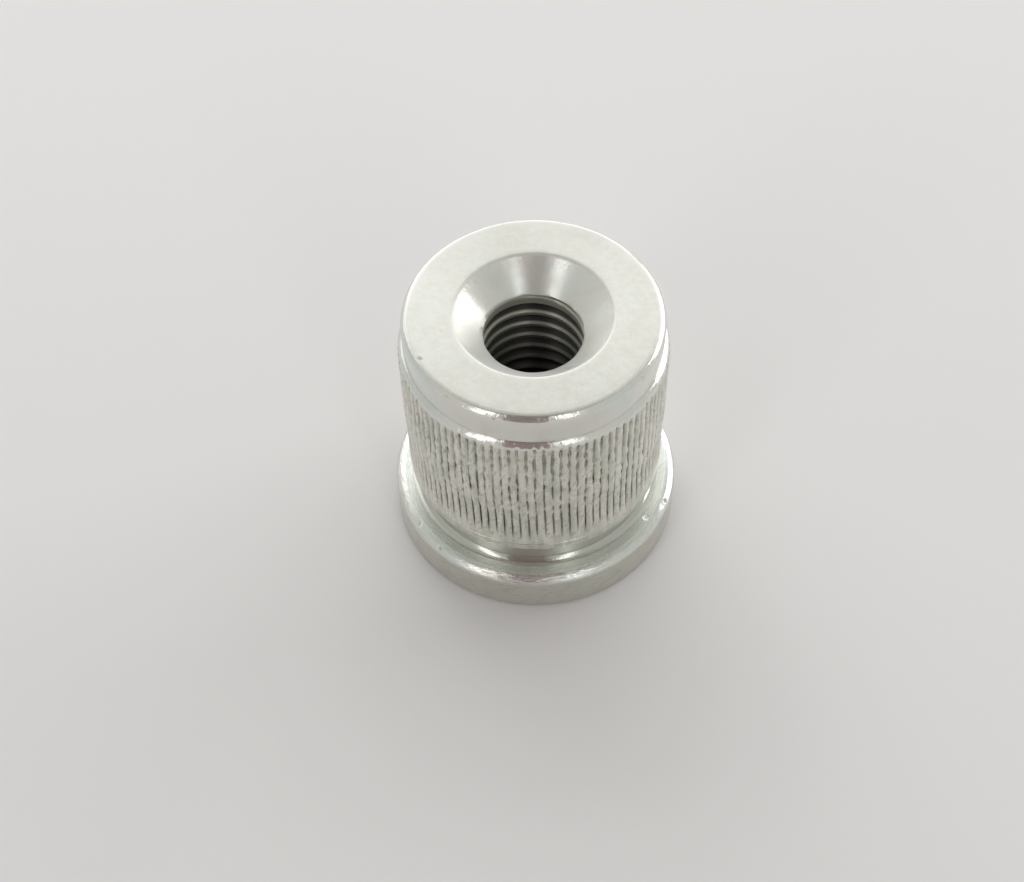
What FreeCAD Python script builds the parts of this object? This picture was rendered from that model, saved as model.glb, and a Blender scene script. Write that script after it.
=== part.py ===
"""Threaded plug: a turned and knurled steel plug with a flange and a tapped through bore.

One piece. It stands on its flange with +Z along its axis, and the origin is the centre of the
flange's underside. Millimetres throughout.
"""
import FreeCAD
import Part
import Sketcher
import os

NODE = "threaded_plug"
SHEET = "Dimensions"

# Every driving dimension: alias, value, meaning. Heights are measured from the flange's underside.
DIMENSIONS = [
    ("total_height", 25.2, "flange underside to the flat top"),
    ("flange_diameter", 25.4, "as wide as the tube that the plug closes"),
    ("flange_thickness", 4.3, "height of the flange's upper face"),
    ("flange_edge_radius", 0.7, "round along the flange's upper edge"),
    ("base_chamfer", 0.3, "edge break along the flange's lower edge"),
    ("relief_diameter", 20.9, "bottom of the turned relief above the flange"),
    ("relief_radius", 0.85, "fillet from the relief on to the flange"),
    ("relief_top", 6.7, "height where the relief ends and the barrel begins"),
    ("collar_diameter", 22.4, "plain band below the knurl, as wide as the tube inside"),
    ("collar_top", 7.8, "height of the collar's upper edge"),
    ("collar_chamfer", 0.35, "edge break along the barrel's lower edge"),
    ("knurl_start", 8.15, "height where the grooves begin to cut in"),
    ("knurl_diameter", 22.7, "over the teeth, a press fit in the tube"),
    ("knurl_teeth", 100, "straight teeth round the barrel"),
    ("groove_width", 0.28, "groove between two teeth, measured over the teeth"),
    ("groove_depth", 0.22, "groove below the teeth"),
    ("groove_runout", 0.5, "height over which a groove gets shallow at its lower end"),
    ("shoulder_height", 22.15, "top of the knurled band"),
    ("shoulder_chamfer", 0.35, "edge break over the knurl's upper end"),
    ("pilot_diameter", 21.8, "plain land that leads the plug into the tube"),
    ("rim_chamfer", 0.3, "edge break between the pilot and the flat top"),
    ("bore_diameter", 8.5, "tapping size for M10 x 1.5"),
    ("countersink_diameter", 13.3, "mouth of the countersink in the flat top"),
    ("countersink_angle", 90, "included angle of the countersink"),
    ("bore_chamfer", 0.8, "lead-in at the bore's lower end"),
]


def dimension(name):
    """Name a cell of the sheet in an expression."""
    return SHEET + "." + name


def half(name):
    """The radius that belongs to a diameter of the sheet."""
    return dimension(name) + " / 2"


def fill_sheet(doc):
    """Write the driving dimensions into the spreadsheet, one row each."""
    sheet = doc.addObject("Spreadsheet::Sheet", SHEET)
    for row, (alias, value, meaning) in enumerate(DIMENSIONS, start=1):
        sheet.set("A%d" % row, alias)
        sheet.set("B%d" % row, str(value))
        sheet.set("C%d" % row, meaning)
        sheet.setAlias("B%d" % row, alias)
    doc.recompute()
    return sheet


def new_sketch(body, name, role, height="0"):
    """A sketch on one of the body's origin planes, lifted by an expression."""
    sketch = body.newObject("Sketcher::SketchObject", name)
    plane = next(item for item in body.Origin.OriginFeatures if item.Role == role)
    sketch.AttachmentSupport = [(plane, "")]
    sketch.MapMode = "FlatFace"
    sketch.setExpression("AttachmentOffset.Base.z", height)
    return sketch


def place_point(sketch, geometry, kind, expression):
    """Fix the start of a line at a distance from the sketch's origin, along one direction."""
    axis = {"DistanceX": -2, "DistanceY": -1}[kind]
    if expression == "0":
        sketch.addConstraint(Sketcher.Constraint("PointOnObject", geometry, 1, axis))
        return
    value = sketch.evalExpression(expression)
    constraint = sketch.addConstraint(Sketcher.Constraint(kind, -1, 1, geometry, 1, float(value)))
    sketch.setExpression("Constraints[%d]" % constraint, expression)


def draw_outline(sketch, corners):
    """A closed outline of straight lines whose corners are pairs of expressions."""
    points = [FreeCAD.Vector(float(sketch.evalExpression(x)), float(sketch.evalExpression(y)), 0)
              for x, y in corners]
    count = len(points)
    for index in range(count):
        sketch.addGeometry(Part.LineSegment(points[index], points[(index + 1) % count]))
    for index in range(count):
        sketch.addConstraint(Sketcher.Constraint("Coincident", index, 2, (index + 1) % count, 1))
    for index, (x, y) in enumerate(corners):
        place_point(sketch, index, "DistanceX", x)
        place_point(sketch, index, "DistanceY", y)


def ring_edges(feature, radius, height):
    """Names of the full circles of a feature at a radius and a height."""
    radius = float(feature.evalExpression(radius))
    height = float(feature.evalExpression(height))
    names = []
    for index, edge in enumerate(feature.Shape.Edges, start=1):
        if not isinstance(edge.Curve, Part.Circle):
            continue
        centre = edge.Curve.Center
        if abs(edge.Curve.Radius - radius) < 1e-4 and abs(centre.z - height) < 1e-4:
            names.append("Edge%d" % index)
    return names


def dress_edge(body, base, kind, name, size, radius, height):
    """Fillet or chamfer the ring edge found at a radius and a height of the base feature."""
    body.Document.recompute()
    feature = body.newObject("PartDesign::" + kind, name)
    feature.Base = (base, ring_edges(base, radius, height))
    feature.setExpression({"Fillet": "Radius", "Chamfer": "Size"}[kind], dimension(size))
    return feature


def turn_blank(body):
    """The turned outside as one revolved outline, solid to the axis."""
    sketch = new_sketch(body, "outside_outline", "XZ_Plane")
    # The step from the collar out to the teeth is cut at 45 degrees.
    step = "(%s - %s)" % (half("knurl_diameter"), half("collar_diameter"))
    draw_outline(sketch, [
        ("0", "0"),
        (half("flange_diameter"), "0"),
        (half("flange_diameter"), dimension("flange_thickness")),
        (half("relief_diameter"), dimension("flange_thickness")),
        (half("relief_diameter"), dimension("relief_top")),
        (half("collar_diameter"), dimension("relief_top")),
        (half("collar_diameter"), dimension("collar_top")),
        (half("knurl_diameter"), dimension("collar_top") + " + " + step),
        (half("knurl_diameter"), dimension("shoulder_height")),
        (half("pilot_diameter"), dimension("shoulder_height")),
        (half("pilot_diameter"), dimension("total_height")),
        ("0", dimension("total_height")),
    ])
    blank = body.newObject("PartDesign::Revolution", "turned_blank")
    blank.Profile = sketch
    blank.ReferenceAxis = (sketch, ["V_Axis"])
    blank.Angle = 360
    return blank


def round_outside(body, blank):
    """Break or round every edge of the blank, from the top down."""
    rim = dress_edge(body, blank, "Chamfer", "rim_edge_break", "rim_chamfer",
                     half("pilot_diameter"), dimension("total_height"))
    shoulder = dress_edge(body, rim, "Chamfer", "shoulder_edge_break", "shoulder_chamfer",
                          half("knurl_diameter"), dimension("shoulder_height"))
    collar = dress_edge(body, shoulder, "Chamfer", "collar_edge_break", "collar_chamfer",
                        half("collar_diameter"), dimension("relief_top"))
    relief = dress_edge(body, collar, "Fillet", "relief_fillet", "relief_radius",
                        half("relief_diameter"), dimension("flange_thickness"))
    flange = dress_edge(body, relief, "Fillet", "flange_round", "flange_edge_radius",
                        half("flange_diameter"), dimension("flange_thickness"))
    return dress_edge(body, flange, "Chamfer", "base_edge_break", "base_chamfer",
                      half("flange_diameter"), "0")


def bore_through(body, base):
    """The tapping-size bore with its countersunk mouth, and the lead-in at its lower end."""
    sketch = new_sketch(body, "bore_centre", "XY_Plane", dimension("total_height"))
    sketch.addGeometry(Part.Circle(FreeCAD.Vector(0, 0, 0), FreeCAD.Vector(0, 0, 1), 1))
    sketch.addConstraint(Sketcher.Constraint("Coincident", 0, 3, -1, 1))
    radius = sketch.addConstraint(Sketcher.Constraint("Radius", 0, 1))
    sketch.setExpression("Constraints[%d]" % radius, half("bore_diameter"))
    body.Document.recompute()
    bore = body.newObject("PartDesign::Hole", "countersunk_bore")
    bore.Profile = sketch
    bore.DepthType = "ThroughAll"
    bore.HoleCutType = "Countersink"
    bore.HoleCutCustomValues = True
    bore.setExpression("Diameter", dimension("bore_diameter"))
    bore.setExpression("HoleCutDiameter", dimension("countersink_diameter"))
    bore.setExpression("HoleCutCountersinkAngle", dimension("countersink_angle"))
    return dress_edge(body, bore, "Chamfer", "bore_lead_in", "bore_chamfer",
                      half("bore_diameter"), "0")


def groove_section(body, name, height, root_radius):
    """The V of one knurl groove at a height, with its root at a radius on the +X side."""
    sketch = new_sketch(body, name, "XY_Plane", height)
    # The V is drawn at twice the groove's size, so that it reaches well past the teeth.
    draw_outline(sketch, [
        (root_radius, "0"),
        (root_radius + " + 2 * " + dimension("groove_depth"), dimension("groove_width")),
        (root_radius + " + 2 * " + dimension("groove_depth"), "-" + dimension("groove_width")),
    ])
    return sketch


def cut_knurl(body):
    """Cut one straight groove that runs out at its lower end, and repeat it round the barrel."""
    start = dimension("knurl_start")
    root = half("knurl_diameter") + " - " + dimension("groove_depth")
    runout = groove_section(body, "groove_lower_end", start, half("knurl_diameter"))
    full = groove_section(body, "groove_full_depth", start + " + " + dimension("groove_runout"), root)
    top = groove_section(body, "groove_upper_end", dimension("shoulder_height"), root)
    groove = body.newObject("PartDesign::SubtractiveLoft", "knurl_groove")
    groove.Profile = runout
    groove.Sections = [full, top]
    groove.Ruled = True
    body.Document.recompute()
    teeth = body.newObject("PartDesign::PolarPattern", "straight_knurl")
    teeth.Originals = [groove]
    axis = next(item for item in body.Origin.OriginFeatures if item.Role == "Z_Axis")
    teeth.Axis = (axis, [""])
    teeth.Angle = 360
    teeth.setExpression("Occurrences", dimension("knurl_teeth"))
    body.Tip = teeth
    return teeth


def check(doc, body):
    """Stop if any object failed, if the body isn't one valid solid, or if the knurl cut nothing."""
    for item in doc.Objects:
        if "Invalid" in item.State or "Error" in item.State:
            raise RuntimeError("%s failed: %s" % (item.Name, item.State))
    shape = body.Shape
    if shape.isNull() or not shape.isValid() or len(shape.Solids) != 1:
        raise RuntimeError("the body is not one valid solid")
    uncut = doc.getObject("bore_lead_in").Shape.Volume
    one_groove = uncut - doc.getObject("knurl_groove").Shape.Volume
    teeth = float(body.evalExpression(dimension("knurl_teeth")))
    if one_groove <= 0 or abs((uncut - shape.Volume) / one_groove / teeth - 1) > 0.01:
        raise RuntimeError("the knurl grooves are not all cut")
    box = shape.optimalBoundingBox(False, False)
    print("%s: %.1f x %.1f x %.1f mm, %.0f mm3, groove %.3f mm3, %d faces"
          % (body.Label, box.XLength, box.YLength, box.ZLength, shape.Volume, one_groove,
             len(shape.Faces)))


def main():
    doc = FreeCAD.newDocument(NODE)
    fill_sheet(doc)
    body = doc.addObject("PartDesign::Body", NODE)
    body.Label = NODE
    base = round_outside(body, turn_blank(body))
    bore_through(body, base)
    cut_knurl(body)
    doc.recompute()
    check(doc, body)
    os.makedirs("parts", exist_ok=True)
    body.Shape.exportStep(os.path.join("parts", body.Label + ".step"))


main()
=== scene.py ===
"""Looks of the threaded plug: its skin with knurl, thread and zinc finish, and a plain studio."""
import math
from types import SimpleNamespace

import bpy
import numpy as np
from mathutils import Matrix, Vector


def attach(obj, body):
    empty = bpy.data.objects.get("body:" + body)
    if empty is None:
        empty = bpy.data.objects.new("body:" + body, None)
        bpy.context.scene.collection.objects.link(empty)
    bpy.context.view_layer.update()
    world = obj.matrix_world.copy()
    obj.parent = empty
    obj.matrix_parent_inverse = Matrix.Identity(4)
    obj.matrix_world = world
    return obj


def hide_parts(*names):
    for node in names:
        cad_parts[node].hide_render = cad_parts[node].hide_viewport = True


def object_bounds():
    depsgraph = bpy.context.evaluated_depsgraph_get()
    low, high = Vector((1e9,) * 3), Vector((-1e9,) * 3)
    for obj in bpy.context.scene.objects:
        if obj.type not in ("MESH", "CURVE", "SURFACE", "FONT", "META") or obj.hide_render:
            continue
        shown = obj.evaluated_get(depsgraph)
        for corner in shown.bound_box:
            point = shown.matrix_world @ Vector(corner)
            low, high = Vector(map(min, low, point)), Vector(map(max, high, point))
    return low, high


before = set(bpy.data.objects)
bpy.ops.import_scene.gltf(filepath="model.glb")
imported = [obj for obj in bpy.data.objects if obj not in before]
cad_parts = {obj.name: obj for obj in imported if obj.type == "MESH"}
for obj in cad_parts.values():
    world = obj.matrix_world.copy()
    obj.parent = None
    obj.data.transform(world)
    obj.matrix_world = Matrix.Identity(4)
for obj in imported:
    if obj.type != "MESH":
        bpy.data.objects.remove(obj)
cad_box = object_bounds()

MM = 0.001

# ---------------------------------------------------------------- the turned shape, in mm
# Radii are from the plug's axis, and heights are from the floor that it stands on.
HEIGHT = round(cad_box[1][2] / MM, 3)
FLANGE_R = round(cad_box[1][0] / MM, 3)
FLANGE_TOP = 4.3
FLANGE_ROUND = 0.82
BASE_ROUND = 0.45
RELIEF_R = 10.45
RELIEF_FILLET = 0.80
FILLET_START = 150.0      # degrees at which the fillet leaves the neck, 180 would be tangent
RELIEF_TOP = 6.7
COLLAR_R = 11.2
COLLAR_ROUND = 0.45
COLLAR_TOP = 7.8
BAND_R = 11.25            # over the teeth in the lower part of the knurled band
CREST_R = 11.35           # over the teeth in the upper part
BAND_BLEND = (12.0, 15.0)      # heights between which the one turns into the other
SHOULDER_ROUND = 0.85     # the round that takes the knurled band in to the pilot
SHOULDER_END = 69.0       # degrees of it, from the side towards the top
SHOULDER_TOP = 22.25
PILOT_FOOT = 22.32
PILOT_R = 10.9
RIM_ROUND = 0.74
MOUTH_R = 6.65            # countersink, at the flat top
MOUTH_ROUND = 0.385
BORE_R = 4.19
LEAD_IN = 0.86            # chamfer at the bore's lower end

# Two fine ridges that the tool left on the flange's top face.
RIDGE_RISE = 0.009
RIDGE_HALF = 0.05
RIDGE_FLAT = 0.06         # from a ridge's foot to the next ring, so that its shading stays narrow
INNER_RIDGE = 0.09        # from the fillet to the middle of the ridge beside it

# Rings that keep the shading of the plain faces flat, and small steps between one form and the next.
UNDERSIDE_RINGS = (7.0, 9.5, 12.0)
FLANGE_SIDE_RINGS = (1.2, 2.2)
PILOT_RINGS = (23.0, 24.0)
TOP_RINGS = (9.7, 8.3, 7.2)
SUPPORT = 0.1             # from a ring to the round that follows it
CREASE_SUPPORT = 0.02
UNDERSIDE_GAP = 0.03      # from the bore's lead-in to the underside's first ring
EASE = 0.05               # how far the neck and the collar turn in or out at their upper ends
NECK_EASE = 0.03
COLLAR_EASE = 0.06

# Points round the plain parts and the bore.
PLAIN_COLUMNS = 200
BORE_COLUMNS = 100
SHARP_ANGLE = 38.0        # degrees between two faces from which their edge is shaded sharp

# ---------------------------------------------------------------- the knurl
TEETH = 100
TOOTH_COLUMNS = 8
BAND_COLUMNS = TEETH * TOOTH_COLUMNS
TOOTH_STEP = 2 * math.pi / TEETH
FOOT_ROWS = (7.95, 8.1, 8.25, 8.45, 8.65)
EVEN_ROWS = (8.9, 21.5, 52)    # first and last height, and how many

# Pairs of heights are where a change starts and where it is complete.
GROOVE_DEPTH = 0.22       # from the upper crests down to the grooves' floor
DEEPER = 0.9              # added to the depth in the lower part, as a share of it
DEEP_UNTIL = (12.0, 14.5)
GROOVE_START = 8.15
START_SPREAD = (-0.15, 0.25)
RUN_IN = (-0.2, 2.0)      # heights over a groove's start, between which it reaches its depth
GROOVE_END = 22.1
END_SPREAD = (-0.35, 0.1)
RUN_OUT = (-0.7, 0.0)     # heights over a groove's end, between which it runs out
HALF_WIDTH = 0.105        # of a groove, as a share of the tooth's pitch
WIDER = 0.085             # added to that in the upper part
WIDE_FROM = (16.0, 19.5)
FIXED_WIDTH = 0.7         # share of the width that doesn't follow the groove's depth
BROKEN_FROM = (11.3, 13.0)
HEALED_FROM = (17.5, 20.5)
HEALED = 0.45             # how much less broken the grooves are there
BROKEN_DEPTH = 0.66       # mean depth where they are broken, as a share of the whole one
PITS = 0.60               # how much that depth goes up and down in pits,
SLANT = 0.18              # in slanting rows that run from tooth to tooth,
PATCHES = 0.25            # and in larger patches
DEPTH_LIMITS = (0.25, 1.4)
SLANT_HEIGHT = 1.25       # from one slanting row to the next
SLANT_STEP = 0.21         # of a row, from one tooth to the next
UNEVEN_DEPTH = 0.2        # most that a groove is deeper or shallower than the others, as a share
UNEVEN_PITCH = 0.02       # of the tooth's pitch
LEAN = math.radians(0.9)  # how far round a groove's lower end stands from its upper end
LEAN_HEIGHTS = (7.5, 17.0)
WANDER = 0.075            # how far a broken groove strays, as a share of the tooth's pitch,
WANDER_FROM = (11.0, 13.0)     # and the heights over which it starts to
STRAIGHT_FROM = (19.0, 21.5)
STRAIGHTER = 0.6          # how much less it strays there
GROOVE_FLOOR = 0.3        # half of a groove's floor, as a share of its half width
CREST_PLACES = (0.14, 0.38, 0.62, 0.86)     # of the crest's columns, as shares of its width
EDGE_CUT = 0.36           # depth at a groove's edges, as a share of that in its middle
CREST_CUT = 0.17          # and at the crest's outer columns
WORN = 0.06               # most that wear takes off the crests
WORN_FROM = (9.5, 13.0)
WORN_UNTIL = (20.5, 21.4)

# ---------------------------------------------------------------- the screw thread
PITCH = 1.5
THREAD_DEPTH = 0.78
FLANK = math.tan(math.radians(60))     # fall of a flank, with 60 degrees between two flanks
ROOT_HALF = 0.13          # half of the flat at the thread's root
FLANK_ROWS = (0.2, 0.31, 0.42)    # heights over or under a groove's middle
CREST_EDGE = 0.02         # from the thread's crest to the rows on both sides of its edge
CREST_ROW = 0.67
GROOVE_Z = 22.54          # a groove's middle at the back of the bore, half a turn from the front
THREAD_FADE = (-40.0, 205.0)      # degrees along the last groove over which it runs out
THREAD_TURNS = (-17, 3)
BORE_FOOT = 0.02          # height of the bore's lowest ring
MOUTH_DROP = 0.12         # from the flat top down to the bore's highest ring

random = np.random.default_rng(7)


def towards(azimuth, elevation):
    """The direction to a place around the plug. Azimuth 0 is the front and +90 is the right."""
    a, e = math.radians(azimuth), math.radians(elevation)
    return Vector((math.sin(a) * math.cos(e), -math.cos(a) * math.cos(e), math.sin(e)))


def smooth_step(low, high, value):
    share = np.clip((value - low) / (high - low), 0.0, 1.0)
    return share * share * (3 - 2 * share)


# ---------------------------------------------------------------- outlines of the turned shape
def arc(centre_r, centre_z, radius, start, end, steps):
    """Points of an arc in the outline, from one angle to another, in degrees from +R towards +Z."""
    angles = np.radians(np.linspace(start, end, steps + 1))
    return [(centre_r + radius * math.cos(a), centre_z + radius * math.sin(a)) for a in angles]


def lower_outline():
    """From the bore's lower mouth round the flange and the relief, to the foot of the knurl."""
    edge_r = FLANGE_R - FLANGE_ROUND
    edge_z = FLANGE_TOP - FLANGE_ROUND
    fillet_r = RELIEF_R - RELIEF_FILLET * math.cos(math.radians(FILLET_START))
    crease_z = FLANGE_TOP + RELIEF_FILLET * (1 - math.sin(math.radians(FILLET_START)))
    outer_ridge = edge_r - RIDGE_HALF
    inner_ridge = fillet_r + INNER_RIDGE

    # Underside and flange.
    points = [(BORE_R + LEAD_IN + UNDERSIDE_GAP, 0.0)]
    points += [(radius, 0.0) for radius in UNDERSIDE_RINGS]
    points += arc(FLANGE_R - BASE_ROUND, BASE_ROUND, BASE_ROUND, -90, 0, 5)
    points += [(FLANGE_R, height) for height in FLANGE_SIDE_RINGS]
    points += [(FLANGE_R, edge_z - SUPPORT)]
    points += arc(edge_r, edge_z, FLANGE_ROUND, 0, 90, 10)

    # The flange's top face, from its outer ridge to its inner one.
    points += [(outer_ridge, FLANGE_TOP + RIDGE_RISE)]
    points += [(outer_ridge - RIDGE_HALF, FLANGE_TOP)]
    points += [(outer_ridge - RIDGE_HALF - RIDGE_FLAT, FLANGE_TOP)]
    points += [(inner_ridge + RIDGE_HALF + RIDGE_FLAT, FLANGE_TOP)]
    points += [(inner_ridge + RIDGE_HALF, FLANGE_TOP)]
    points += [(inner_ridge, FLANGE_TOP + RIDGE_RISE)]
    points += [(inner_ridge - RIDGE_HALF, FLANGE_TOP)]

    # Relief and collar.
    points += arc(fillet_r, FLANGE_TOP + RELIEF_FILLET, RELIEF_FILLET, 270, FILLET_START + 2, 9)
    points += [(RELIEF_R, crease_z), (RELIEF_R, crease_z + CREASE_SUPPORT)]
    points += [(RELIEF_R, RELIEF_TOP - 2 * SUPPORT), (RELIEF_R + EASE, RELIEF_TOP - NECK_EASE)]
    points += arc(COLLAR_R - COLLAR_ROUND, RELIEF_TOP + COLLAR_ROUND, COLLAR_ROUND, -90, 0, 6)
    points += [(COLLAR_R, COLLAR_TOP - SUPPORT), (COLLAR_R, COLLAR_TOP)]
    points += [(COLLAR_R - EASE, COLLAR_TOP + COLLAR_EASE)]
    return points


def shoulder_arc():
    """The round from the knurled band to the pilot, which it meets at an angle."""
    centre_r = CREST_R - SHOULDER_ROUND
    centre_z = SHOULDER_TOP - SHOULDER_ROUND * math.sin(math.radians(SHOULDER_END))
    return arc(centre_r, centre_z, SHOULDER_ROUND, 0, SHOULDER_END, 7)


def upper_outline():
    """From the shoulder up the pilot, over the rim and in across the flat top."""
    points = [(PILOT_R, height) for height in (PILOT_FOOT, *PILOT_RINGS)]
    points += arc(PILOT_R - RIM_ROUND, HEIGHT - RIM_ROUND, RIM_ROUND, 0, 90, 10)
    points += [(radius, HEIGHT) for radius in TOP_RINGS]
    # The countersink falls at 45 degrees, so the round into it turns by as much.
    mouth_edge = MOUTH_R + MOUTH_ROUND * math.tan(math.radians(45 / 2))
    points += arc(mouth_edge, HEIGHT - MOUTH_ROUND, MOUTH_ROUND, 90, 135, 4)
    return points


def plain_grid(outline):
    """Angles, radii and heights of a plain turned part, one row a ring."""
    rows = np.array(outline)
    angles = np.arange(PLAIN_COLUMNS) * (2 * math.pi / PLAIN_COLUMNS)
    turn = np.repeat(angles[None, :], len(rows), axis=0)
    radius = np.repeat(rows[:, :1], PLAIN_COLUMNS, axis=1)
    height = np.repeat(rows[:, 1:], PLAIN_COLUMNS, axis=1)
    return turn, radius, height


# ---------------------------------------------------------------- the knurled band
def smooth_noise(rows, columns, row_step, column_step):
    """Random numbers from -1 to 1 that change slowly down the rows and round the columns."""
    coarse_rows = rows // row_step + 3
    coarse_columns = max(3, columns // column_step)
    coarse = random.uniform(-1, 1, (coarse_rows, coarse_columns))
    coarse = np.concatenate([coarse, coarse[:, :1]], axis=1)
    at_row = np.linspace(0, coarse_rows - 1.001, rows)
    at_column = np.arange(columns) * (coarse_columns / columns)
    row, column = at_row.astype(int), at_column.astype(int)
    down = smooth_step(0, 1, at_row - row)[:, None]
    along = smooth_step(0, 1, at_column - column)[None, :]
    upper = coarse[row][:, column] * (1 - along) + coarse[row][:, column + 1] * along
    lower = coarse[row + 1][:, column] * (1 - along) + coarse[row + 1][:, column + 1] * along
    return upper * (1 - down) + lower * down


def band_rows():
    """Crest radii and heights of the rows through the knurled band, with the shoulder's round."""
    heights = np.concatenate([FOOT_ROWS, np.linspace(*EVEN_ROWS)])
    crests = BAND_R + (CREST_R - BAND_R) * smooth_step(*BAND_BLEND, heights)
    return np.concatenate([np.stack([crests, heights], axis=1), shoulder_arc()])


def depth_shares(heights):
    """How deep each groove is at each row, as a share of its whole depth there.

    The lower third is cut clean, the middle is broken up into pits and short runs, and the top
    is less so.
    """
    rows = len(heights)
    broken = smooth_step(*BROKEN_FROM, heights)
    broken = (broken * (1 - HEALED * smooth_step(*HEALED_FROM, heights)))[:, None]
    pits = smooth_noise(rows, TEETH, 2, 1)
    row = heights[:, None] / SLANT_HEIGHT + np.arange(TEETH)[None, :] * SLANT_STEP
    slant = np.sin(2 * math.pi * row)
    patches = smooth_noise(rows, TEETH, 14, 9)
    share = BROKEN_DEPTH + PITS * pits + SLANT * slant + PATCHES * patches
    share = np.clip(share, *DEPTH_LIMITS) * broken + (1 - broken)
    return share * (1 + UNEVEN_DEPTH * smooth_noise(rows, TEETH, 8, 1))


def groove_cuts(heights, crests):
    """How deep each groove is at each row in mm, and half its width in shares of the pitch."""
    start = GROOVE_START + random.uniform(*START_SPREAD, TEETH)[None, :]
    end = GROOVE_END + random.uniform(*END_SPREAD, TEETH)[None, :]
    cut = smooth_step(*RUN_IN, heights[:, None] - start)
    cut = cut * (1 - smooth_step(*RUN_OUT, heights[:, None] - end))
    share = depth_shares(heights)
    whole = np.clip(crests - (CREST_R - GROOVE_DEPTH), 0, None)
    whole = whole * (1 + DEEPER * (1 - smooth_step(*DEEP_UNTIL, heights)))
    depth = whole[:, None] * share * cut
    half = HALF_WIDTH + WIDER * smooth_step(*WIDE_FROM, heights)
    half = half[:, None] * (FIXED_WIDTH + (1 - FIXED_WIDTH) * share)
    return depth, half


def groove_middles(heights):
    """Where each groove's middle is at each row, counted in teeth round from the front."""
    middle = np.arange(TEETH)[None, :] + random.normal(0, UNEVEN_PITCH, TEETH)[None, :]
    middle = middle + LEAN / TOOTH_STEP * (1 - smooth_step(*LEAN_HEIGHTS, heights))[:, None]
    stray = smooth_noise(len(heights), TEETH, 4, 1)
    stray = stray * smooth_step(*WANDER_FROM, heights)[:, None]
    stray = stray * (1 - STRAIGHTER * smooth_step(*STRAIGHT_FROM, heights))[:, None]
    return middle + WANDER * stray


def knurl_grid():
    """Angles, radii and heights of the knurled band. A groove has four columns, and the crest
    between it and the next has four more."""
    rows = band_rows()
    crests, heights = rows[:, 0], rows[:, 1]
    depth, half = groove_cuts(heights, crests)
    middle = groove_middles(heights)
    left, right = middle - half, middle + half
    next_left = np.concatenate([left[:, 1:], left[:, :1] + TEETH], axis=1)
    gap = next_left - right
    columns = [left, middle - GROOVE_FLOOR * half, middle + GROOVE_FLOOR * half, right]
    columns += [right + share * gap for share in CREST_PLACES]
    turn = np.stack(columns, axis=-1).reshape(len(rows), -1) * TOOTH_STEP

    next_depth = np.roll(depth, -1, axis=1)
    nothing = np.zeros_like(depth)
    cuts = [EDGE_CUT * depth, depth, depth, EDGE_CUT * depth]
    cuts += [CREST_CUT * depth, nothing, nothing, CREST_CUT * next_depth]
    cut = np.stack(cuts, axis=-1).reshape(len(rows), -1)
    worn = WORN * np.clip(smooth_noise(len(rows), BAND_COLUMNS, 3, 4), 0, 1)
    worn_part = smooth_step(*WORN_FROM, heights) * (1 - smooth_step(*WORN_UNTIL, heights))
    radius = crests[:, None] - cut - worn * worn_part[:, None]
    height = np.repeat(heights[:, None], BAND_COLUMNS, axis=1)
    return turn, radius, height


# ---------------------------------------------------------------- countersink, bore and thread
def cone_radius(height):
    """The radius that the countersink and the lead-in give at a height."""
    countersink = MOUTH_R - (HEIGHT - height)
    lead_in = BORE_R + LEAD_IN - height
    return np.maximum(np.maximum(countersink, lead_in), BORE_R)


def thread_radius(turn, height):
    """The radius that the screw thread gives at an angle (from the front, radians) and a height."""
    degrees = np.degrees(turn)
    turns = (height - GROOVE_Z) / PITCH - (degrees - 180.0) / 360.0
    nearest = np.round(turns)
    off = np.abs(turns - nearest) * PITCH
    along = nearest * 360.0 + degrees
    fade_start, fade_end = THREAD_FADE
    depth = THREAD_DEPTH * np.clip((fade_end - along) / (fade_end - fade_start), 0, 1)
    return BORE_R + np.clip(depth - np.clip(off - ROOT_HALF, 0, None) * FLANK, 0, None)


def bore_grid():
    """Rows of points that follow the thread round the bore, and how many rows a turn has. The
    last column meets the first one a full turn further on. Heights outside the bore are held at
    its ends."""
    crest = ROOT_HALF + THREAD_DEPTH / FLANK
    crest_rows = (crest - CREST_EDGE, crest + CREST_EDGE, CREST_ROW)
    half = np.array([ROOT_HALF, *FLANK_ROWS, *crest_rows])
    phases = np.concatenate([-half[::-1], half])
    turns = np.arange(*THREAD_TURNS)
    rows = (GROOVE_Z + turns[:, None] * PITCH + phases[None, :]).ravel()
    angles = np.arange(BORE_COLUMNS) * (2 * math.pi / BORE_COLUMNS)
    height = rows[:, None] + PITCH * (np.degrees(angles)[None, :] - 180.0) / 360.0
    height = np.clip(height, BORE_FOOT, HEIGHT - MOUTH_DROP)
    turn = np.repeat(angles[None, :], len(rows), axis=0)
    radius = np.maximum(cone_radius(height), thread_radius(turn, height))
    return turn, radius, height, len(phases)


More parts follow.
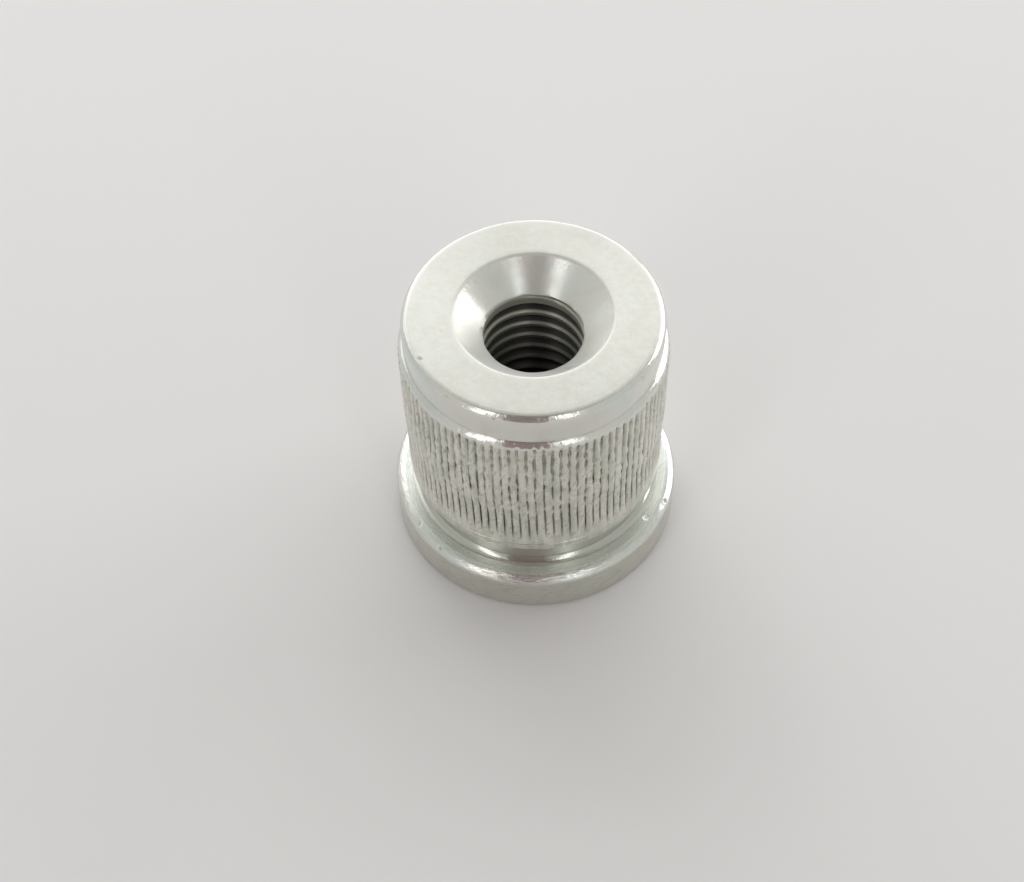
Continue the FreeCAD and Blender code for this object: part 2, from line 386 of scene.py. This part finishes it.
# ---------------------------------------------------------------- one mesh from all of them
class Skin:
    """Points and faces that the parts add to, each after the one before."""

    def __init__(self):
        self.points = []
        self.faces = []
        self.count = 0

    def add(self, turn, radius, height):
        """Adds a grid of points, and gives their numbers in the grid's shape."""
        x, y = radius * np.sin(turn), -radius * np.cos(turn)
        self.points.append(np.stack([x, y, height], axis=-1).reshape(-1, 3))
        numbers = self.count + np.arange(turn.size).reshape(turn.shape)
        self.count += turn.size
        return numbers

    def fill(self, numbers):
        """Faces between the rows of a grid that runs all the way round."""
        after = np.roll(numbers, -1, axis=1)
        quads = np.stack([numbers[:-1], after[:-1], after[1:], numbers[1:]], axis=-1)
        self.faces += quads.reshape(-1, 4).tolist()

    def stitch(self, fine, coarse, coarse_after):
        """Faces between a ring of many points and a ring of few that starts at the same angle.
        The ring of few comes after or before the other on the way from the bore's lower mouth
        round the outside to its upper one."""
        ratio = len(fine) // len(coarse)
        middle = ratio // 2
        made = []
        for index, corner in enumerate(coarse):
            beside = coarse[(index + 1) % len(coarse)]
            span = [fine[(index * ratio + step) % len(fine)] for step in range(ratio + 1)]
            for step in range(ratio):
                made.append([span[step], span[step + 1], corner if step < middle else beside])
            made.append([span[middle], beside, corner])
        self.faces += made if coarse_after else [face[::-1] for face in made]

    def fill_thread(self, numbers, height, rows_a_turn):
        """Fills the bore with faces, and gives its lowest and highest ring. Points held at an end
        become one, and faces that shrink to nothing are left out."""
        rows, columns = height.shape
        top, bottom = height.max(), height.min()
        last_low = [int(np.nonzero(height[:, c] <= bottom)[0].max()) for c in range(columns)]
        first_high = [int(np.nonzero(height[:, c] >= top)[0].min()) for c in range(columns)]
        kept = np.clip(np.arange(rows)[:, None], last_low, first_high)
        merged = numbers[kept, np.arange(columns)[None, :]]
        for row in range(rows - 1):
            for column in range(columns):
                seam = column == columns - 1
                beside = 0 if seam else column + 1
                step = rows_a_turn if seam else 0
                low, high = min(row + step, rows - 1), min(row + 1 + step, rows - 1)
                corners = [merged[row, column], merged[row + 1, column],
                           merged[high, beside], merged[low, beside]]
                corners = list(dict.fromkeys(int(corner) for corner in corners))
                if len(corners) > 2:
                    self.faces.append(corners)
        return merged[0], merged[-1]

    def to_object(self, name):
        """One object in metres from the points that a face uses."""
        points = np.concatenate(self.points)
        used = np.unique([corner for face in self.faces for corner in face])
        renumber = np.full(len(points), -1)
        renumber[used] = np.arange(len(used))
        faces = [[int(renumber[corner]) for corner in face] for face in self.faces]
        mesh = bpy.data.meshes.new(name)
        mesh.from_pydata((points[used] * MM).tolist(), [], faces)
        mesh.validate()
        mesh.polygons.foreach_set("use_smooth", [True] * len(mesh.polygons))
        mesh.set_sharp_from_angle(angle=math.radians(SHARP_ANGLE))
        made = bpy.data.objects.new(name, mesh)
        bpy.context.scene.collection.objects.link(made)
        return made


def build_plug():
    skin = Skin()
    lower = skin.add(*plain_grid(lower_outline()))
    band = skin.add(*knurl_grid())
    upper = skin.add(*plain_grid(upper_outline()))
    turn, radius, height, rows_a_turn = bore_grid()
    bore = skin.add(turn, radius, height)
    for part in (lower, band, upper):
        skin.fill(part)
    low_ring, high_ring = skin.fill_thread(bore, height, rows_a_turn)
    skin.stitch(lower[0], low_ring, coarse_after=False)
    skin.stitch(band[0], lower[-1], coarse_after=False)
    skin.stitch(band[-1], upper[0], coarse_after=True)
    skin.stitch(upper[-1], high_ring, coarse_after=True)
    return skin.to_object("threaded_plug_skin")


# ---------------------------------------------------------------- material nodes
class Nodes:
    """Short ways to add the nodes that a material needs. An input is a number or a socket."""

    def __init__(self, name):
        self.material = bpy.data.materials.new(name)
        self.material.use_nodes = True
        self.tree = self.material.node_tree
        self.shader = self.tree.nodes["Principled BSDF"]

    def add(self, kind, inputs=(), output=0, **settings):
        made = self.tree.nodes.new(kind)
        for name, value in settings.items():
            setattr(made, name, value)
        for key, value in dict(inputs).items():
            self.put(made.inputs[key], value)
        return made.outputs[output]

    def put(self, socket, value):
        if isinstance(value, bpy.types.NodeSocket):
            self.tree.links.new(value, socket)
        else:
            socket.default_value = value

    def math(self, operation, first, second=0.0):
        return self.add("ShaderNodeMath", {0: first, 1: second}, operation=operation)

    def plus(self, first, second):
        return self.math("ADD", first, second)

    def minus(self, first, second):
        return self.math("SUBTRACT", first, second)

    def times(self, first, second):
        return self.math("MULTIPLY", first, second)

    def larger(self, first, second):
        return self.math("MAXIMUM", first, second)

    def line(self, value, start, end):
        """A straight change from start to end while the value goes from 0 to 1."""
        return self.add("ShaderNodeMapRange", {0: value, 1: 0.0, 2: 1.0, 3: start, 4: end})

    def ramp(self, value, low, high, start=0.0, end=1.0):
        """A smooth change from start to end while the value goes from low to high."""
        return self.add("ShaderNodeMapRange", {0: value, 1: low, 2: high, 3: start, 4: end},
                        interpolation_type="SMOOTHSTEP")

    def between(self, value, low, high, edge):
        """One between two values, falling to nothing over an edge at each."""
        rise = self.ramp(value, low - edge, low + edge)
        fall = self.ramp(value, high - edge, high + edge, 1.0, 0.0)
        return self.times(rise, fall)

    def noise(self, vector, scale, detail, roughness):
        return self.add("ShaderNodeTexNoise", {"Vector": vector, "Scale": scale, "Detail": detail,
                                               "Roughness": roughness})

    def vector(self, x, y, z):
        return self.add("ShaderNodeCombineXYZ", {0: x, 1: y, 2: z})

    def mix(self, share, first, second):
        """A colour that goes from the first to the second as the share goes from 0 to 1."""
        made = self.tree.nodes.new("ShaderNodeMix")
        made.data_type = "RGBA"
        for key, value in ((0, share), (6, first), (7, second)):
            self.put(made.inputs[key], value)
        return made.outputs[2]

    def bump(self, height, depth_mm, strength, normal=None):
        """Relief from a height of 0 to 1 that stands for a depth in mm."""
        inputs = {"Strength": strength, "Distance": depth_mm * MM, "Height": height}
        if normal is not None:
            inputs["Normal"] = normal
        return self.add("ShaderNodeBump", inputs)


# ---------------------------------------------------------------- the zinc finish, and painted shade
ZINC = (0.78, 0.77, 0.73, 1)
ZINC_WARM = (0.69, 0.67, 0.61, 1)
ZINC_COOL = (0.73, 0.76, 0.73, 1)
FLANGE_ZINC = (0.82, 0.85, 0.80, 1)
# Painted shade in the relief groove under the knurl.
RELIEF_ZINC = (0.49, 0.49, 0.44, 1)
TOP_ZINC = (0.62, 0.61, 0.56, 1)
SIDE_ZINC = (0.64, 0.64, 0.575, 1)
SCUFF = (0.40, 0.41, 0.35, 1)
BAND_LIGHT = (0.84, 0.83, 0.76, 1)
BAND_GREEN = (0.68, 0.70, 0.62, 1)
# Painted shade on the grooves' flanks, and in the grooves and their pits.
FLANK_ZINC = (0.42, 0.41, 0.34, 1)
GROOVE_ZINC = (0.165, 0.16, 0.13, 1)
BORE_ZINC = (0.56, 0.56, 0.49, 1)
# Painted shade down in the bore and in the thread's roots.
DEEP_ZINC = (0.03, 0.029, 0.025, 1)
ANISOTROPY = 0.6          # stretch of the highlights across the tool's rings
ANISOTROPY_TURN = 0.25

# Where each part's finish or painted shade holds, in mm. Two numbers are the heights (Z) or
# the radii between which it comes or goes, and three are its lowest and highest place and the edge
# at each.
BAND_Z = (7.1, 21.6, 0.15)
BAND_RADII = (10.5, 10.9)
TOP_Z = (25.0, 25.15)
TOP_RADII = (10.3, 10.6)
FLANGE_FACE_Z = (4.2, 4.4, 0.05)
FLANGE_FACE_INNER = (10.9, 11.3)
FLANGE_FACE_OUTER = (11.9, 12.2)
SIDE_Z = (3.4, 3.8)
SIDE_RADII = (12.0, 12.6)
TORN_Z = (3.55, 4.27, 0.06)
TORN_RADII = (11.8, 12.1)
RELIEF_Z = (4.36, 6.75, 0.06)
RELIEF_RADII = (11.1, 11.3)
NECK_Z = (4.7, 4.85)
CONE_Z = (22.4, 22.6)
CONE_RADII = (6.55, 6.62)
BORE_Z = (0.02, 22.72, 0.05)
BORE_RADII = (5.2, 5.6)
RIM_Z = (24.6, 25.15, 0.1)
SHOULDER_Z = (21.6, 22.2, 0.1)

# Painted shade in the grooves, on their flanks and down in the bore. A tint is the share of the
# darker colour.
FLANK_SHADE = (0.01, 0.09)       # mm below the crests
FLANK_TINT = 0.38
GROOVE_SHADE = (0.07, 0.24)
GROOVE_TINTS = (10.5, 18.5, 0.62, 0.42)     # two heights, and the tint at each
DEEP_TINT = 0.96
DEEP_Z = (12.5, 24.5)
ROOT_RADII = (4.22, 4.50)         # of the thread, from its crests towards its roots
LOWER_MOUTH_Z = (0.5, 9.0)        # near its lower mouth the bore is light again

# Places where an edge or a face has been knocked: degrees round from the front, then height,
# radius and size in mm.
NICKS = (
    (53, 24.7, 10.8, 0.35), (-63, 25.2, 10.2, 0.25), (-45, 24.9, 10.7, 0.20),
    (-40, 24.8, 10.75, 0.22), (-17, 24.7, 10.8, 0.18), (-58, 4.2, 12.3, 0.35),
    (-43, 4.1, 12.4, 0.30), (70, 4.1, 12.4, 0.30), (52, 5.0, 10.9, 0.30), (58, 4.3, 11.6, 0.35),
    (140, 4.1, 12.4, 0.30), (-150, 24.8, 10.75, 0.25), (170, 0.2, 12.5, 0.30),
)


def find_places(m):
    """Where a point of the surface is: its place in mm with x, y and z, its radius from the axis,
    and its angle round from the back, in radians."""
    metres = m.add("ShaderNodeTexCoord", output="Object")
    place = m.add("ShaderNodeVectorMath", {0: metres, 1: (1000, 1000, 1000)},
                  operation="MULTIPLY")
    split = m.tree.nodes.new("ShaderNodeSeparateXYZ")
    m.put(split.inputs[0], place)
    x, y, z = split.outputs
    radius = m.math("SQRT", m.plus(m.times(x, x), m.times(y, y)))
    angle = m.math("ARCTAN2", x, y)
    return SimpleNamespace(place=place, x=x, y=y, z=z, radius=radius, angle=angle)


def find_zones(m, at):
    """How far each part's finish, or each painted shade, holds at a point, from 0 to 1."""
    zone = SimpleNamespace()
    # The knurled band, and painted shade in its grooves and on their flanks.
    zone.band = m.times(m.between(at.z, *BAND_Z), m.ramp(at.radius, *BAND_RADII))
    crest = m.ramp(at.z, *BAND_BLEND, BAND_R, CREST_R)
    below = m.minus(crest, at.radius)
    zone.groove = m.times(m.ramp(below, *GROOVE_SHADE), zone.band)
    zone.groove = m.times(zone.groove, m.ramp(at.z, *GROOVE_TINTS))
    zone.flank = m.times(m.ramp(below, *FLANK_SHADE, 0.0, FLANK_TINT), zone.band)
    # The flat top, the flange's top face, side and torn edge, the relief and its straight neck.
    zone.top = m.times(m.ramp(at.z, *TOP_Z), m.ramp(at.radius, *TOP_RADII, 1.0, 0.0))
    zone.flange = m.times(m.between(at.z, *FLANGE_FACE_Z), m.ramp(at.radius, *FLANGE_FACE_INNER))
    zone.flange = m.times(zone.flange, m.ramp(at.radius, *FLANGE_FACE_OUTER, 1.0, 0.0))
    zone.side = m.times(m.ramp(at.z, *SIDE_Z, 1.0, 0.0), m.ramp(at.radius, *SIDE_RADII))
    zone.torn = m.times(m.between(at.z, *TORN_Z), m.ramp(at.radius, *TORN_RADII))
    # The relief gets painted shade, and its neck more roughness.
    zone.relief = m.times(m.between(at.z, *RELIEF_Z),
                          m.ramp(at.radius, *RELIEF_RADII, 1.0, 0.0))
    zone.neck = m.times(zone.relief, m.ramp(at.z, *NECK_Z))
    # The countersink, the bore, and the painted shade down in the bore and in the thread's roots.
    zone.cone = m.times(m.ramp(at.radius, *CONE_RADII, 1.0, 0.0), m.ramp(at.z, *CONE_Z))
    zone.bore = m.times(m.between(at.z, *BORE_Z), m.ramp(at.radius, *BORE_RADII, 1.0, 0.0))
    deep = m.larger(m.ramp(at.z, *DEEP_Z, DEEP_TINT, 0.0),
                    m.ramp(at.radius, *ROOT_RADII, 0.0, DEEP_TINT))
    zone.deep = m.times(m.times(deep, m.ramp(at.z, *LOWER_MOUTH_Z)), zone.bore)
    # Edges that get knocked.
    edge = m.larger(m.between(at.z, *RIM_Z), m.between(at.z, *SHOULDER_Z))
    zone.knocked = m.larger(m.times(zone.side, 0.5), edge)
    return zone


def find_patterns(m, at):
    """The noises of the finish, from 0 to 1."""
    pattern = SimpleNamespace()
    # Clouds in the plate, and the fine grain of it.
    pattern.cool = m.noise(at.place, 0.16, 3.0, 0.6)
    pattern.warm = m.noise(m.vector(at.x, at.y, m.plus(at.z, 40.0)), 0.28, 4.0, 0.6)
    pattern.mottle = m.noise(at.place, 1.1, 5.0, 0.7)
    pattern.tumbled = m.noise(at.place, 1.5, 3.0, 0.6)
    pattern.grain = m.noise(at.place, 7.0, 4.0, 0.65)
    # The tool's rings, slanting scuffs on the flange's side, and its torn edge.
    rings = m.vector(m.times(at.radius, 7.0), m.times(at.z, 7.0), m.times(at.angle, 0.5))
    pattern.rings = m.noise(rings, 1.0, 4.0, 0.65)
    slanting = m.vector(m.plus(m.times(at.angle, 14.0), at.z), m.times(at.z, 0.8), at.radius)
    pattern.scuff = m.noise(slanting, 1.0, 5.0, 0.7)
    torn = m.vector(m.times(at.angle, 9.0), m.times(at.z, 5.0), m.times(at.radius, 5.0))
    pattern.torn = m.noise(torn, 1.0, 3.0, 0.6)
    # Teeth of another tint, and specks of painted shade for pits, leaning as the grooves do.
    tooth = m.vector(m.times(at.angle, 15.0), m.times(at.z, 0.15), 3.0)
    pattern.tooth = m.noise(tooth, 1.0, 2.0, 0.6)
    leaning = m.plus(m.times(at.angle, 45.0), m.times(at.z, 1.1))
    pattern.speckle = m.noise(m.vector(leaning, m.times(at.z, 1.3), 0.0), 1.0, 4.0, 0.7)
    return pattern


def set_colour(m, zone, pattern):
    colour = m.mix(m.ramp(pattern.cool, 0.42, 0.62), ZINC, ZINC_COOL)
    colour = m.mix(m.ramp(pattern.warm, 0.5, 0.72, 0.0, 0.6), colour, ZINC_WARM)
    colour = m.mix(m.times(zone.top, 0.75), colour, TOP_ZINC)
    mottled = m.times(m.ramp(pattern.mottle, 0.40, 0.60, 0.0, 0.35), zone.top)
    colour = m.mix(mottled, colour, ZINC_COOL)
    # Painted shade in the relief groove.
    colour = m.mix(m.times(zone.relief, 0.8), colour, RELIEF_ZINC)
    colour = m.mix(zone.flange, colour, FLANGE_ZINC)
    colour = m.mix(zone.side, colour, SIDE_ZINC)
    scuffed = m.times(zone.side, m.ramp(pattern.scuff, 0.45, 0.75, 0.0, 0.45))
    colour = m.mix(scuffed, colour, SCUFF)
    band = m.mix(m.ramp(pattern.tooth, 0.38, 0.62), BAND_GREEN, BAND_LIGHT)
    # Specks of painted shade, standing in for pits.
    band = m.mix(m.ramp(pattern.speckle, 0.51, 0.64, 0.0, 0.42), band, GROOVE_ZINC)
    colour = m.mix(zone.band, colour, band)
    # Painted shade on the grooves' flanks and in the grooves.
    colour = m.mix(zone.flank, colour, FLANK_ZINC)
    colour = m.mix(zone.groove, colour, GROOVE_ZINC)
    colour = m.mix(zone.bore, colour, BORE_ZINC)
    # Painted shade down in the bore and in the thread's roots.
    colour = m.mix(zone.deep, colour, DEEP_ZINC)
    m.put(m.shader.inputs["Base Color"], colour)


def set_gloss(m, zone, pattern):
    metal = m.line(zone.top, 0.9, 0.3)
    for part, less in ((zone.cone, 0.35), (zone.flange, 0.14), (zone.bore, 0.4)):
        metal = m.minus(metal, m.times(part, less))
    m.put(m.shader.inputs["Metallic"], metal)

    rough = m.line(zone.top, 0.14, 0.38)
    rougher = ((zone.cone, 0.18), (zone.bore, 0.25), (zone.side, 0.10), (zone.flange, 0.10),
               (zone.band, 0.10), (zone.neck, 0.25))
    for part, more in rougher:
        rough = m.plus(rough, m.times(part, more))
    rough = m.plus(rough, m.ramp(pattern.rings, 0.3, 0.7, -0.03, 0.03))
    rough = m.plus(rough, m.ramp(pattern.warm, 0.3, 0.7, -0.03, 0.04))
    mottled = m.times(m.ramp(pattern.mottle, 0.35, 0.65, -0.03, 0.03), zone.top)
    rough = m.plus(rough, mottled)
    m.put(m.shader.inputs["Roughness"], rough)

    m.shader.inputs["Anisotropic"].default_value = ANISOTROPY
    m.shader.inputs["Anisotropic Rotation"].default_value = ANISOTROPY_TURN
    m.put(m.shader.inputs["Tangent"],
          m.add("ShaderNodeTangent", direction_type="RADIAL", axis="Z"))


def find_dents(m, at):
    """One inside a nick, falling to nothing at its edge."""
    dents = None
    for degrees, height, radius, size in NICKS:
        centre = towards(degrees, 0) * radius + Vector((0, 0, height))
        away = m.add("ShaderNodeVectorMath", {0: at.place, 1: centre}, output="Value",
                     operation="DISTANCE")
        dent = m.ramp(away, 0.3 * size, size, 1.0, 0.0)
        dents = dent if dents is None else m.larger(dents, dent)
    return dents


def set_relief(m, at, zone, pattern):
    """The tool's rings, knocks from tumbling, the flange's torn edge, the top's unevenness,
    scuffs, the plate's grain, then the nicks."""
    quiet = m.larger(m.larger(zone.top, zone.flange), m.times(zone.cone, 0.84))
    bump = m.bump(pattern.rings, 0.010, m.line(quiet, 0.5, 0.12))
    bump = m.bump(pattern.tumbled, 0.035, m.plus(0.3, m.times(zone.knocked, 0.7)), bump)
    bump = m.bump(pattern.torn, 0.10, zone.torn, bump)
    bump = m.bump(pattern.mottle, 0.02, zone.top, bump)
    bump = m.bump(pattern.scuff, 0.05, m.times(zone.side, 0.8), bump)
    bump = m.bump(pattern.grain, 0.012, m.plus(0.4, m.times(zone.band, 0.6)), bump)
    nicked = m.times(find_dents(m, at), m.ramp(pattern.grain, 0.3, 0.7))
    bump = m.bump(nicked, -0.13, 1.0, bump)
    m.put(m.shader.inputs["Normal"], bump)


def zinc_material():
    """Bright zinc plate over turned steel, with a duller, warmer knurled band, and painted shade in
    the grooves, the relief groove and down in the bore.
    """
    m = Nodes("bright_zinc")
    at = find_places(m)
    zone = find_zones(m, at)
    pattern = find_patterns(m, at)
    set_colour(m, zone, pattern)
    set_gloss(m, zone, pattern)
    set_relief(m, at, zone, pattern)
    return m.material


# ---------------------------------------------------------------- studio, in metres and degrees
FLOOR_SIZE = 3.2
FLOOR_COLOUR = (0.71, 0.695, 0.70, 1)
FLOOR_ROUGHNESS = 0.6

CARD_COLOUR = (0.21, 0.16, 0.16, 1)
CARD_ROUGHNESS = 0.9
CARD_AZIMUTH = -6.5
CARD_ELEVATIONS = (0.3, 100)
CARD_DISTANCE = 0.35
CARD_WIDTH = 0.18

SKY_COLOUR = (0.99, 1.0, 0.95, 1)
SKY_SIDES = 0.62          # strength of the sky round the sides
SKY_TOP = 0.36            # and overhead
SKY_BLEND = (0.80, 0.97)  # sines of the elevations between which the one turns into the other

LAMP_DISTANCE = 1.2
# Name, azimuth and elevation, size across and up in degrees as seen from the plug, radiance.
LAMPS = (
    ("key", 127, 16, (46, 32), 3.1),
    ("back", -174, 27, (56, 50), 1.78),
    ("back_left", -139, 30, (40, 45), 0.6),
    ("front_left", -41, 44, (11, 74), 1.7),
    ("front_right", 26, 44, (8, 74), 1.8),
)

CAMERA_LENS = 59.77       # mm, on a sensor of CAMERA_SENSOR mm
CAMERA_SENSOR = 36.0
CAMERA_CLIP = (0.005, 10.0)
CAMERA_PLACE = (-2.06 * MM, -90.31 * MM, 130.78 * MM)
CAMERA_AZIMUTH = 1.5      # how far that place is turned round the plug
CAMERA_TILT = 36.275      # up from straight down
CAMERA_ROLL = -1.838


def plain_material(name, colour, roughness):
    m = Nodes(name)
    m.shader.inputs["Base Color"].default_value = colour
    m.shader.inputs["Roughness"].default_value = roughness
    return m.material


def add_floor():
    bpy.ops.mesh.primitive_plane_add(size=FLOOR_SIZE, location=(0, 0, 0))
    floor = bpy.context.object
    floor.name = "table"
    floor.data.materials.append(plain_material("pale_table", FLOOR_COLOUR, FLOOR_ROUGHNESS))


def add_card():
    """A dark card curved over the front of the plug, where a photographer would stand. The metal
    mirrors it, and the camera doesn't see it."""
    across = np.linspace(-CARD_WIDTH / 2, CARD_WIDTH / 2, 9)
    up = np.radians(np.linspace(*CARD_ELEVATIONS, 25))
    turn = Matrix.Rotation(math.radians(CARD_AZIMUTH), 4, "Z")
    points = [turn @ Vector((x, -CARD_DISTANCE * math.cos(e), CARD_DISTANCE * math.sin(e)))
              for e in up for x in across]
    faces = []
    for row in range(len(up) - 1):
        for column in range(len(across) - 1):
            corner = row * len(across) + column
            faces.append((corner, corner + 1, corner + 1 + len(across), corner + len(across)))
    mesh = bpy.data.meshes.new("dark_card")
    mesh.from_pydata(points, [], faces)
    card = bpy.data.objects.new("dark_card", mesh)
    bpy.context.scene.collection.objects.link(card)
    mesh.materials.append(plain_material("dark_card", CARD_COLOUR, CARD_ROUGHNESS))
    card.visible_camera = False


def add_lamp(name, azimuth, elevation, size, radiance):
    """A panel lamp aimed at the plug, as LAMPS describes it."""
    lamp = bpy.data.lights.new(name, "AREA")
    lamp.shape = "RECTANGLE"
    lamp.size = 2 * LAMP_DISTANCE * math.tan(math.radians(size[0] / 2))
    lamp.size_y = 2 * LAMP_DISTANCE * math.tan(math.radians(size[1] / 2))
    lamp.energy = radiance * math.pi * lamp.size * lamp.size_y
    holder = bpy.data.objects.new(name, lamp)
    bpy.context.scene.collection.objects.link(holder)
    turn = Matrix.Rotation(math.radians(azimuth), 4, "Z")
    turn = turn @ Matrix.Rotation(math.pi / 2 - math.radians(elevation), 4, "X")
    place = towards(azimuth, elevation) * LAMP_DISTANCE
    holder.matrix_world = Matrix.Translation(place) @ turn
    holder.visible_camera = False


def light_world():
    """A pale sky that is darker overhead than round the sides."""
    world = bpy.data.worlds.new("studio")
    bpy.context.scene.world = world
    world.use_nodes = True
    tree = world.node_tree
    background = tree.nodes["Background"]
    background.inputs["Color"].default_value = SKY_COLOUR
    place = tree.nodes.new("ShaderNodeTexCoord")
    split = tree.nodes.new("ShaderNodeSeparateXYZ")
    strength = tree.nodes.new("ShaderNodeMapRange")
    strength.interpolation_type = "SMOOTHSTEP"
    for key, value in enumerate((*SKY_BLEND, SKY_SIDES, SKY_TOP), start=1):
        strength.inputs[key].default_value = value
    tree.links.new(place.outputs["Generated"], split.inputs[0])
    tree.links.new(split.outputs[2], strength.inputs[0])
    tree.links.new(strength.outputs[0], background.inputs["Strength"])


def add_camera():
    """Looks down on the plug from the front, with a slight roll."""
    data = bpy.data.cameras.new("camera")
    data.lens = CAMERA_LENS
    data.sensor_width = CAMERA_SENSOR
    data.clip_start, data.clip_end = CAMERA_CLIP
    camera = bpy.data.objects.new("camera", data)
    bpy.context.scene.collection.objects.link(camera)
    round_the_plug = Matrix.Rotation(math.radians(CAMERA_AZIMUTH), 4, "Z")
    place = Matrix.Translation(CAMERA_PLACE)
    tilt = Matrix.Rotation(math.radians(CAMERA_TILT), 4, "X")
    roll = Matrix.Rotation(math.radians(CAMERA_ROLL), 4, "Z")
    camera.matrix_world = round_the_plug @ place @ tilt @ roll
    bpy.context.scene.camera = camera


# ---------------------------------------------------------------- the scene
plug = build_plug()
plug.data.materials.append(zinc_material())
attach(plug, "root")
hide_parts("threaded_plug")

add_floor()
light_world()
add_card()
for settings in LAMPS:
    add_lamp(*settings)
add_camera()

bpy.context.scene.view_settings.view_transform = "Standard"
